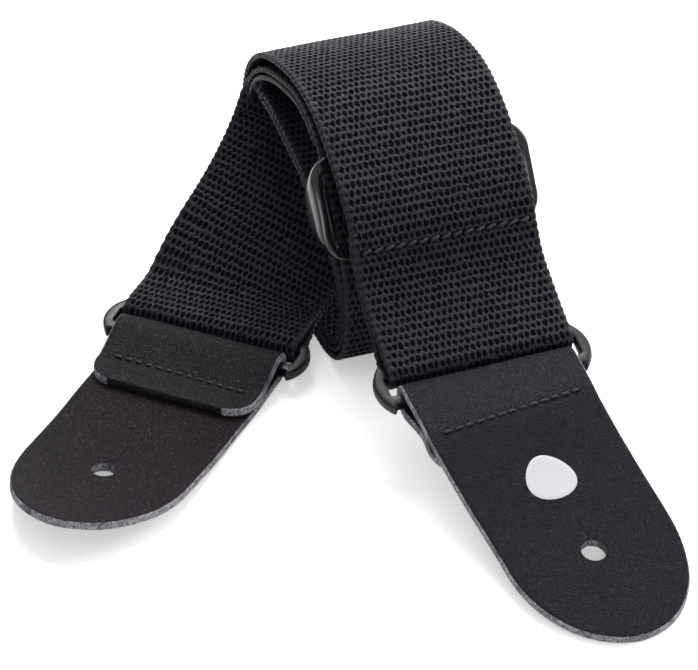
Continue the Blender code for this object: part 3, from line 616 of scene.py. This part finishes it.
# %% Stitches
def stitches(name, at, count, run, length, radius, lift, body, node_name, slant=0.0):
    """Row of stitches; at(x) gives the surface point, the row direction and the normal."""
    around, along = 10, 9
    verts, quads, caps = [], [], []
    pitch = run / count
    for i in range(count):
        x0 = -run / 2 + pitch * (i + 0.5)
        base = len(verts)
        for k in range(along):
            t = -1 + 2 * k / (along - 1)
            c, ex, n = at(x0 + t * length / 2)
            ey = np.cross(n, ex)
            centre = c + n * (lift * (1 - t ** 4 * 2.1)) + ey * slant * t
            rad = radius * (1 - 0.35 * t ** 6)
            for q in range(around):
                a = 2 * math.pi * q / around
                verts.append(centre + ey * rad * math.cos(a) + n * rad * math.sin(a))
        qd, cp = sweep_quads(along, around)
        quads.append(qd + base)
        caps += [c + base for c in cp]
    ob = mesh_object(name, verts, np.vstack(quads), [MAT["thread"]], caps=caps)
    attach(ob, body)
    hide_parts(node_name)
    return ob

# %% Seam thread
i_seam = int(np.argmin(np.abs(arc(path) - arm_s - SEAM_AT)))
seam_p = path[i_seam]
seam_t = unit(path[i_seam + 1] - path[i_seam - 1])
seam_n = np.cross(X, seam_t)
seam_n = seam_n * (1 if seam_n[1] < 0 else -1)


def on_arm(x):
    """Point on the right arm's seam line."""
    return seam_p + X * x + seam_n * (WEB_THICK / 2 - 0.15), X, seam_n


seam = stitches("seam_thread", on_arm, 15, WEB_WIDTH - 4.0, 2.7, 0.5, 0.26,
                "strap", "webbing_end_seam", 0.35)

# %% [markdown]
# ## Rings and slider
# A plate is a pair of outlines; its rim is a quarter round that follows the outline's
# own normals, so the moulded edges are soft everywhere.

# %% Plates
def outline_normals(q):
    """Outward normals of a counter-clockwise closed outline."""
    t = np.roll(q, -1, 0) - np.roll(q, 1, 0)
    n = np.stack([t[:, 1], -t[:, 0]], 1)
    return n / np.linalg.norm(n, axis=1)[:, None]


def rounded(hx, hy, rad, per):
    """Rounded rectangle, per + 1 points in each corner."""
    out = []
    for sx, sy, a0 in ((1, 1, 0), (-1, 1, 90), (-1, -1, 180), (1, -1, 270)):
        for k in range(per + 1):
            a = math.radians(a0 + 90.0 * k / per)
            out.append((sx * (hx - rad) + rad * math.cos(a), sy * (hy - rad) + rad * math.sin(a)))
    return np.array(out)


def closed_resample(q, n):
    """n evenly spaced points round a closed outline."""
    q = np.vstack([q, q[:1]])
    d = arc(q)
    s = np.linspace(0, d[-1], n, endpoint=False)
    return np.stack([np.interp(s, d, q[:, k]) for k in range(2)], 1)


def plate(outer, inner, thick, rim, steps=5):
    """Plate with an opening: top face, rounded outer rim, bottom face, rounded inner rim."""
    n = len(outer)
    no, ni = outline_normals(outer), outline_normals(inner)
    rows = []
    for a in np.linspace(0, math.pi / 2, steps):
        rows.append((outer - no * rim * (1 - math.sin(a)), thick / 2 - rim * (1 - math.cos(a))))
    rows += [(o, -z) for o, z in reversed(rows)]
    back = []
    for a in np.linspace(0, math.pi / 2, steps):
        back.append((inner + ni * rim * (1 - math.sin(a)), thick / 2 - rim * (1 - math.cos(a))))
    rows += [(o, -z) for o, z in back] + list(reversed(back))
    verts = np.vstack([np.column_stack([o, np.full(n, z)]) for o, z in rows])
    m = len(rows)
    q, k = np.meshgrid(np.arange(m), np.arange(n), indexing="ij")
    a, b = q * n + k, q * n + (k + 1) % n
    c, d = ((q + 1) % m) * n + (k + 1) % n, ((q + 1) % m) * n + k
    return verts, np.stack([a, d, c, b], -1).reshape(-1, 4)


def put(local, origin, ex, ey, ez):
    """Local vertices to the world."""
    return origin + local[:, :1] * ex + local[:, 1:2] * ey + local[:, 2:3] * ez

# %% Rings
hx, hy, bar = RING_LENGTH / 2, RING_WIDTH / 2, SLOT_WIDTH / 2 + RING_BAR
wall = WEB_WIDTH / 2 + 0.35
last = math.acos((wall + 0.7 - hx + hy) / hy)
lobe = [(hx - hy + hy * math.cos(a), hy * math.sin(a)) for a in np.linspace(0.02, last, 24)]
top = lobe[-1][1]
lobe += [(wall + 0.3, top - 0.02), (wall + 0.05, top - 0.3), (wall, top - 0.7),
         (wall, bar + 0.5), (wall - 0.15, bar)]
lobe = np.array(lobe)
ring_outer = np.vstack([lobe, (lobe * (-1, 1))[::-1], lobe * (-1, -1), (lobe * (1, -1))[::-1]])
ring_inner = rounded(SLOT_LENGTH / 2, SLOT_WIDTH / 2, 0.6, len(lobe) - 1)


def ring(name, centre, ex, ey, ez, body, node_name):
    """A strap ring with soft lobes at both ends."""
    v, f = plate(ring_outer, ring_inner, RING_THICK, 0.75)
    ob = mesh_object(name, put(v, centre, ex, ey, ez), f, [MAT["ring"]])
    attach(ob, body)
    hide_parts(node_name)


u3 = -Y * U_A[0] + Z * U_A[1]
n3 = -Y * N_A[0] + Z * N_A[1]
ring_a, bar_a2 = az_to_world([RING_A])[0], az_to_world([BAR_A2])[0]
ring("front_ring_piece", ring_a, X, u3, n3, "front_ring", "ring_front")
ring("rear_ring_piece", RING_B, LEFT_RULE, U_B, N_B, "rear_ring", "ring_rear")

# %% Slider
sc = az_to_world([SLIDE_C])[0]
sd = -Y * SLIDE_D[0] + Z * SLIDE_D[1]
sn = -Y * SLIDE_N[0] + Z * SLIDE_N[1]
SLIDER_GAP, LOOP_PLAY = 0.5, 0.35
over = HALF_LAYER + SLIDER_GAP + SLIDER_THICK / 2
below = -(HALF_LAYER + SLIDER_GAP + 2 * HALF_LAYER + LOOP_PLAY + SLIDER_THICK / 2)


def slider_bow(y):
    """Height of the slider: low centre bar, high outer bars."""
    inner = SLIDER_MID / 2
    return below + (over - below) * smooth_step((np.abs(y) - inner) / (SLIDER_WIDTH / 2 - SLIDER_BAR - inner))


RIM_POINTS = 160
outer = closed_resample(rounded(SLIDER_LENGTH / 2, SLIDER_WIDTH / 2, 8.0, 16), RIM_POINTS)
inner = closed_resample(rounded(SLIDER_LENGTH / 2 - 4.2, SLIDER_WIDTH / 2 - SLIDER_BAR, 1.4, 16), RIM_POINTS)
v1, f1 = plate(outer, inner, SLIDER_THICK, 0.85)
lowest = slider_bow(v1[:, 1]) - SLIDER_THICK / 2
rail = smooth_step((np.abs(v1[:, 0]) - SLIDER_LENGTH / 2 + SLIDER_BAR) / 0.7)
arch = over + SLIDER_THICK / 2 + RAIL_ARCH * (1 - (v1[:, 1] / (SLIDER_WIDTH / 2)) ** 2)
highest = lowest + SLIDER_THICK + rail * (arch - lowest - SLIDER_THICK)
v1[:, 2] = lowest + (v1[:, 2] / SLIDER_THICK + 0.5) * (highest - lowest)
xs = np.linspace(-SLIDER_LENGTH / 2 + 2.2, SLIDER_LENGTH / 2 - 2.2, 9)
bar_ring = np.array([((SLIDER_MID / 2 - 0.1) * math.copysign(abs(math.cos(a)) ** 0.7, math.cos(a)),
                      (SLIDER_THICK / 2 - 0.05) * math.copysign(abs(math.sin(a)) ** 0.7, math.sin(a)))
                     for a in np.linspace(0, 2 * math.pi, 16, endpoint=False)])
v2 = np.vstack([np.column_stack([np.full(16, x), bar_ring[:, 0], bar_ring[:, 1] + below]) for x in xs])
f2, c2 = sweep_quads(len(xs), 16)
slider = mesh_object("slider", put(np.vstack([v1, v2]), sc, X, sd, sn), np.vstack([f1, f2 + len(v1)]),
                     [MAT["slider"]], caps=[c + len(v1) for c in c2])
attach(slider, "slider")
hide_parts("slider_buckle")

# %% Slider loop
loop_r = SLIDER_THICK / 2 + LOOP_PLAY + HALF_LAYER
half = (SLIDER_MID - SLIDER_THICK) / 2 + 0.5
lp = [(-half - 4.5, -loop_r), (-half, -loop_r), (0.0, -loop_r), (half, -loop_r)]
lp += [(half + loop_r * math.cos(t), loop_r * math.sin(t))
       for t in np.linspace(-math.pi / 2, math.pi / 2, 13)[1:-1]]
lp += [(half, loop_r), (0.0, loop_r), (-half, loop_r)]
lp += [(-half - loop_r * math.cos(t), loop_r * math.sin(t))
       for t in np.linspace(math.pi / 2, -math.pi / 2, 9)[1:5]]
lp = np.array(lp)
loop = band("slider_loop", sc + lp[:, :1] * sd + (lp[:, 1:2] + below) * sn, np.tile(X, (len(lp), 1)),
            WEB_WIDTH / 2, WEB_THICK, 25, [MAT["webbing"]])
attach(loop, "slider")
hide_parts("slider_webbing_loop")
print("slider loop", round(arc(lp)[-1], 1), "mm long")

# %% [markdown]
# ## Leather tabs
# Each tab is one strip folded round its ring's outer bar and sewn through both
# leaves.  The long leaf ends in a tongue with a button hole and a slit.  A thickened
# sheet would need its fold bent afterwards, so the strip is swept round the bar as one
# band, and an exact Boolean then cuts the hole through it.

# %% Tab shapes
def tab_half(s):
    """Half width of the long leaf; the tongue is a superellipse."""
    body = TAB_LENGTH - TAB_TONGUE
    w = TAB_WIDTH / 2 + (TAB_WAIST - TAB_WIDTH) / 2 * np.clip((s - 4.0) / (body - 4.0), 0, 1)
    k = np.clip((s - body) / TAB_TONGUE, 0, 1)
    return w * np.power(np.clip(1 - k ** 2.05, 0, 1), 1 / 2.0)


def flap_half(s):
    """Half width of the flap, with round corners at its end."""
    k = np.clip((s - (TAB_FLAP - TAB_FLAP_CORNER)) / TAB_FLAP_CORNER, 0, 1)
    return TAB_WIDTH / 2 - TAB_FLAP_CORNER * (1 - np.sqrt(np.clip(1 - k ** 2, 0, 1)))


def refine_end(p, s, total, extra, step):
    """Stations every step, closing up over the last stretch."""
    body = np.arange(s[0], total - extra, step)
    k = np.linspace(0, 1, 30)
    end = total - extra + extra * np.sin(k * math.pi / 2)
    end[-1] = total - 0.02
    q = np.concatenate([body[body < total - extra - 0.3], end])
    return np.stack([np.interp(q, s, p[:, j]) for j in range(3)], 1), q

# %% Tab builder
def build_tab(name, bar, u, n, rule, sign, ground, mats, body, node_name):
    """Leather tab round a ring bar; sign +1 puts the long leaf over the bar."""
    rad = RING_BAR / 2 + LOOP_GAP + TAB_THICK / 2
    ang = np.linspace(math.pi / 2, 3 * math.pi / 2, 15)
    fold = np.array([bar + u * rad * math.cos(t) + n * rad * math.sin(t) for t in ang])
    if sign < 0:
        fold = fold[::-1]
    line = smooth_curve([bar + n * rad * sign] + ground, 0.8)
    s = BAR_OFFSET + arc(line)
    line, s = refine_end(line, s, TAB_LENGTH, TAB_TONGUE, 0.8)
    _, _, nn = frames_along(line, np.tile(rule, (len(line), 1)))
    if np.dot(nn[0], n) < 0:
        nn = -nn
    inner_line = line - nn * (TAB_THICK + 0.3) * sign
    picks = [np.array([np.interp(q, s, inner_line[:, j]) for j in range(3)])
             for q in (15.5, 19.5, 24.0, 29.0)]
    flap = smooth_curve([bar - n * rad * sign, bar - n * rad * sign + u * 1.5] + picks, 0.8)
    sf = BAR_OFFSET + arc(flap)
    flap, sf = refine_end(flap, sf, TAB_FLAP, TAB_FLAP_CORNER, 0.8)
    p = np.vstack([flap[::-1], fold[1:-1][::-1], line])
    hw = np.concatenate([flap_half(sf)[::-1], np.full(len(fold) - 2, TAB_WIDTH / 2), tab_half(s)])
    hw = np.maximum(hw, 0.7)
    total = arc(p)
    s_line0 = total[len(flap) + len(fold) - 2] - s[0]
    s_flap0 = total[0] + sf[-1]

    def relief(sv, x, side):
        """Dents along the stitch row, hollows between stitches, and a slow ripple."""
        on_long = sv - s_line0
        on_flap = s_flap0 - sv
        d1 = np.where(on_long > BAR_OFFSET, on_long - STITCH_AT, 99)
        flap_part = (on_flap > BAR_OFFSET) & (sv < total[len(flap) - 1])
        d2 = np.where(flap_part, on_flap - STITCH_AT - 0.4, 99)
        d = np.minimum(np.abs(d1), np.abs(d2))
        inside = smooth_step((STITCH_RUN / 2 + 1.2 - np.abs(x)) / 1.5)
        pulls = 0.7 + 0.3 * np.cos(2 * math.pi * x / (STITCH_RUN / STITCHES))
        dent = -0.30 * np.exp(-(d / 1.0) ** 2) * inside * pulls
        ripple = 0.10 * np.sin(sv / 9.0 + x / 14.0) + 0.05 * np.sin(sv / 4.0 - x / 6.0)
        from_edge = tab_half(np.clip(on_long, 0, TAB_LENGTH)) - np.abs(x)
        edge = -0.22 * np.exp(-(from_edge / 0.6) ** 2) * (on_long > 0)
        return side * (dent + edge) + ripple

    ob = band(name, p, np.tile(rule, (len(p), 1)), hw, TAB_THICK, 61, mats,
              square=0.72, relief=relief, edge_steps=2)
    q = np.array([np.interp(HOLE_AT, s, line[:, j]) for j in range(3)])
    q2 = np.array([np.interp(HOLE_AT + 1, s, line[:, j]) for j in range(3)])
    du = unit(q2 - q)
    dn = nn[int(np.argmin(np.abs(s - HOLE_AT)))]
    cut_hole(ob, q, du, np.cross(dn, du), dn)
    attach(ob, body)
    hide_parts(node_name)
    return line, s, nn, flap, sf

# %% Button hole
def cut_hole(ob, centre, u, r, n):
    """Round button hole with a slit towards the ring, cut by an exact Boolean."""
    rad, half_slit = HOLE_DIA / 2, SLIT_WIDTH / 2
    a0 = math.asin(half_slit / rad)
    pts = [(rad * math.cos(t), rad * math.sin(t))
           for t in np.linspace(math.pi + a0, 3 * math.pi - a0, 61)]
    far = -SLIT_LENGTH - rad * 0.5
    pts += [(far * 0.6, half_slit * 0.8), (far, half_slit * 0.3),
            (far, -half_slit * 0.3), (far * 0.6, -half_slit * 0.8)]
    k = len(pts)
    verts = [centre + u * x + r * y + n * z for z in (-6.0, 6.0) for x, y in pts]
    me = bpy.data.meshes.new("hole_tool")
    faces = [tuple(range(k))[::-1], tuple(range(k, 2 * k))]
    faces += [(i, (i + 1) % k, (i + 1) % k + k, i + k) for i in range(k)]
    me.from_pydata([tuple(v * MM) for v in verts], [], faces)
    for m in ob.data.materials:
        me.materials.append(m)
    me.polygons.foreach_set("material_index", np.ones(len(faces), np.int32))
    face_outward(me)
    tool = bpy.data.objects.new("hole_tool", me)
    bpy.context.scene.collection.objects.link(tool)
    mod = ob.modifiers.new("hole", "BOOLEAN")
    mod.operation, mod.solver, mod.object = "DIFFERENCE", "EXACT", tool
    dg = bpy.context.evaluated_depsgraph_get()
    new = bpy.data.meshes.new_from_object(ob.evaluated_get(dg))
    ob.modifiers.clear()
    ob.data = new
    bpy.data.objects.remove(tool, do_unlink=True)

# %% Tabs
TAB_A_DRIFT = 5.6
ground_a = [az_to_world([q], TAB_A_DRIFT * smooth_step((q[0] - 116.0) / 64.0))[0] for q in
            ((128.5, 20.9), (136.0, 17.6), (146.0, 13.4), (158.0, 9.2), (170.0, 5.9), (183.0, 3.2),
             (194.0, 1.7), (203.0, 1.25), (214.0, 1.2))]
line_a, s_a, nn_a, _, _ = build_tab("front_tab_leather", bar_a2, u3, n3, X, 1, ground_a,
                                    [MAT["leather_front"], MAT["cut"]], "front_tab", "leather_tab_front")
ground_b = []
for dist, height in ((12.0, 1.9), (18.0, 1.4), (28.0, 1.45), (42.0, 2.1),
                     (56.0, 3.5), (70.0, 5.6), (82.0, 8.2), (94.0, 11.4)):
    q = RING_B + LEFT_HEAD * dist - LEFT_RULE * 0.6 * smooth_step((dist - 8.0) / 20.0)
    ground_b.append(np.array([q[0], q[1], height]))
_, _, _, flap_b, sf_b = build_tab("rear_tab_leather", BAR_B2, U_B, N_B, LEFT_RULE, -1, ground_b,
                                  [MAT["leather_rear"], MAT["cut"]], "rear_tab", "leather_tab_rear")

# %% Tab threads
def leaf_surface(line, s, rule, where, x, height):
    """Point on a leaf's upper face at station where and offset x, with its frame."""
    p = np.array([np.interp(where, s, line[:, j]) for j in range(3)])
    q = np.array([np.interp(where + 0.5, s, line[:, j]) for j in range(3)])
    t = unit(q - p)
    r = unit(rule - np.dot(rule, t) * t)
    n = np.cross(r, t)
    n = n * np.sign(n[2])
    return p + r * x + n * height, r, n


for name, line, s, rule, where, body, node_name in (
        ("front_tab_thread", line_a, s_a, X, STITCH_AT, "front_tab", "stitches_front"),
        ("rear_tab_thread", flap_b, sf_b, LEFT_RULE, STITCH_AT + 0.4, "rear_tab", "stitches_rear")):
    stitches(name, lambda x, a=(line, s, rule, where): leaf_surface(*a, x, TAB_THICK / 2 - 0.22),
             STITCHES, STITCH_RUN, 2.6, 0.42, 0.26, body, node_name)

# %% [markdown]
# ## Foil mark
# A thin silver stamp lies on the front tab.  It could be a decal, but a disc of rings
# and spokes laid on the leather follows its bend and is a piece in its own right.

# %% Foil mark
mark_at, rings_n, spokes = 37.2, 10, 48
verts = []
for i in range(rings_n + 1):
    f = max(i / rings_n, 0.02)
    for k in range(spokes):
        a = 2 * math.pi * k / spokes
        mx, my = 6.4 * f * math.sin(a) * (1 - 0.22 * math.cos(a)), -6.6 * f * math.cos(a)
        pt, _, _ = leaf_surface(line_a, s_a, X, mark_at + my, mx, TAB_THICK / 2 + 0.16 - 0.10 * (i == rings_n))
        verts.append(pt)
i, k = np.meshgrid(np.arange(rings_n), np.arange(spokes), indexing="ij")
a, b = i * spokes + k, i * spokes + (k + 1) % spokes
quads = np.stack([a, a + spokes, b + spokes, b], -1).reshape(-1, 4)
foil = mesh_object("foil_plectrum", verts, quads, [MAT["foil"]], caps=[np.arange(spokes)])
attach(foil, "front_tab")
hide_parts("foil_mark")

# %% [markdown]
# ## Studio
# A pale floor, a white surround and three large soft lights.  The camera stands
# 0.85 m away, 36 degrees above the horizon, with a long lens.

# %% Floor
floor_me = bpy.data.meshes.new("floor")
floor_me.from_pydata([(-6, -6, 0), (6, -6, 0), (6, 6, 0), (-6, 6, 0)], [], [(0, 1, 2, 3)])
floor = bpy.data.objects.new("floor", floor_me)
bpy.context.scene.collection.objects.link(floor)
floor_mat = bpy.data.materials.new("floor")
floor_mat.use_nodes = True
fb = floor_mat.node_tree.nodes["Principled BSDF"]
fb.inputs["Base Color"].default_value = (0.93, 0.93, 0.935, 1)
fb.inputs["Roughness"].default_value = 0.9
fb.inputs["Specular IOR Level"].default_value = 0.1
fb.inputs["Emission Color"].default_value = (1, 1, 1, 1)
ft = floor_mat.node_tree
glow = ramp(ft, ft.nodes.new("ShaderNodeLightPath").outputs["Is Camera Ray"], 0.0, 1.0, 0.0, 0.4)
ft.links.new(glow, fb.inputs["Emission Strength"])
floor_me.materials.append(floor_mat)

# %% World and lights
world = bpy.data.worlds.new("studio")
bpy.context.scene.world = world
world.use_nodes = True
world.node_tree.nodes["Background"].inputs["Color"].default_value = (1, 1, 1, 1)
wt = world.node_tree
seen = wt.nodes.new("ShaderNodeLightPath").outputs["Is Camera Ray"]
wt.links.new(ramp(wt, seen, 0.0, 1.0, 0.55, 1.0), wt.nodes["Background"].inputs["Strength"])


def softbox(name, place, target, size, power):
    """Square area light at place, facing target; lengths in metres."""
    data = bpy.data.lights.new(name, "AREA")
    data.shape, data.size, data.energy = "SQUARE", size, power
    ob = bpy.data.objects.new(name, data)
    bpy.context.scene.collection.objects.link(ob)
    ob.location = place
    ob.rotation_euler = (Vector(target) - Vector(place)).to_track_quat("-Z", "Y").to_euler()


softbox("key", (0.25, 0.55, 0.95), (0, 0, 0.03), 0.7, 15.0)
softbox("front_low", (-0.2, -1.0, 0.5), (0, 0, 0.03), 0.5, 2.5)
softbox("side_right", (0.9, 0.05, 0.45), (0, 0, 0.03), 0.5, 7.0)

# %% Camera
CAM_AZ, CAM_EL, CAM_DIST, CAM_LENS = math.radians(-20.5), math.radians(36.0), 0.85, 161.9484
TARGET = np.array([-0.01631, -0.02145, -0.00004])
cam_data = bpy.data.cameras.new("camera")
cam_data.sensor_width = 36.0
cam_data.lens = CAM_LENS
cam = bpy.data.objects.new("camera", cam_data)
bpy.context.scene.collection.objects.link(cam)
back = np.array([math.sin(CAM_AZ) * math.cos(CAM_EL), -math.cos(CAM_AZ) * math.cos(CAM_EL),
                 math.sin(CAM_EL)])
cam.location = tuple(TARGET + back * CAM_DIST)
cam.rotation_euler = (math.pi / 2 - CAM_EL, 0.0, CAM_AZ)
bpy.context.scene.camera = cam

scene = bpy.context.scene
scene.render.engine = "CYCLES"
scene.render.resolution_x, scene.render.resolution_y = 698, 670
scene.view_settings.view_transform = "Standard"
scene.view_settings.exposure = 0.0
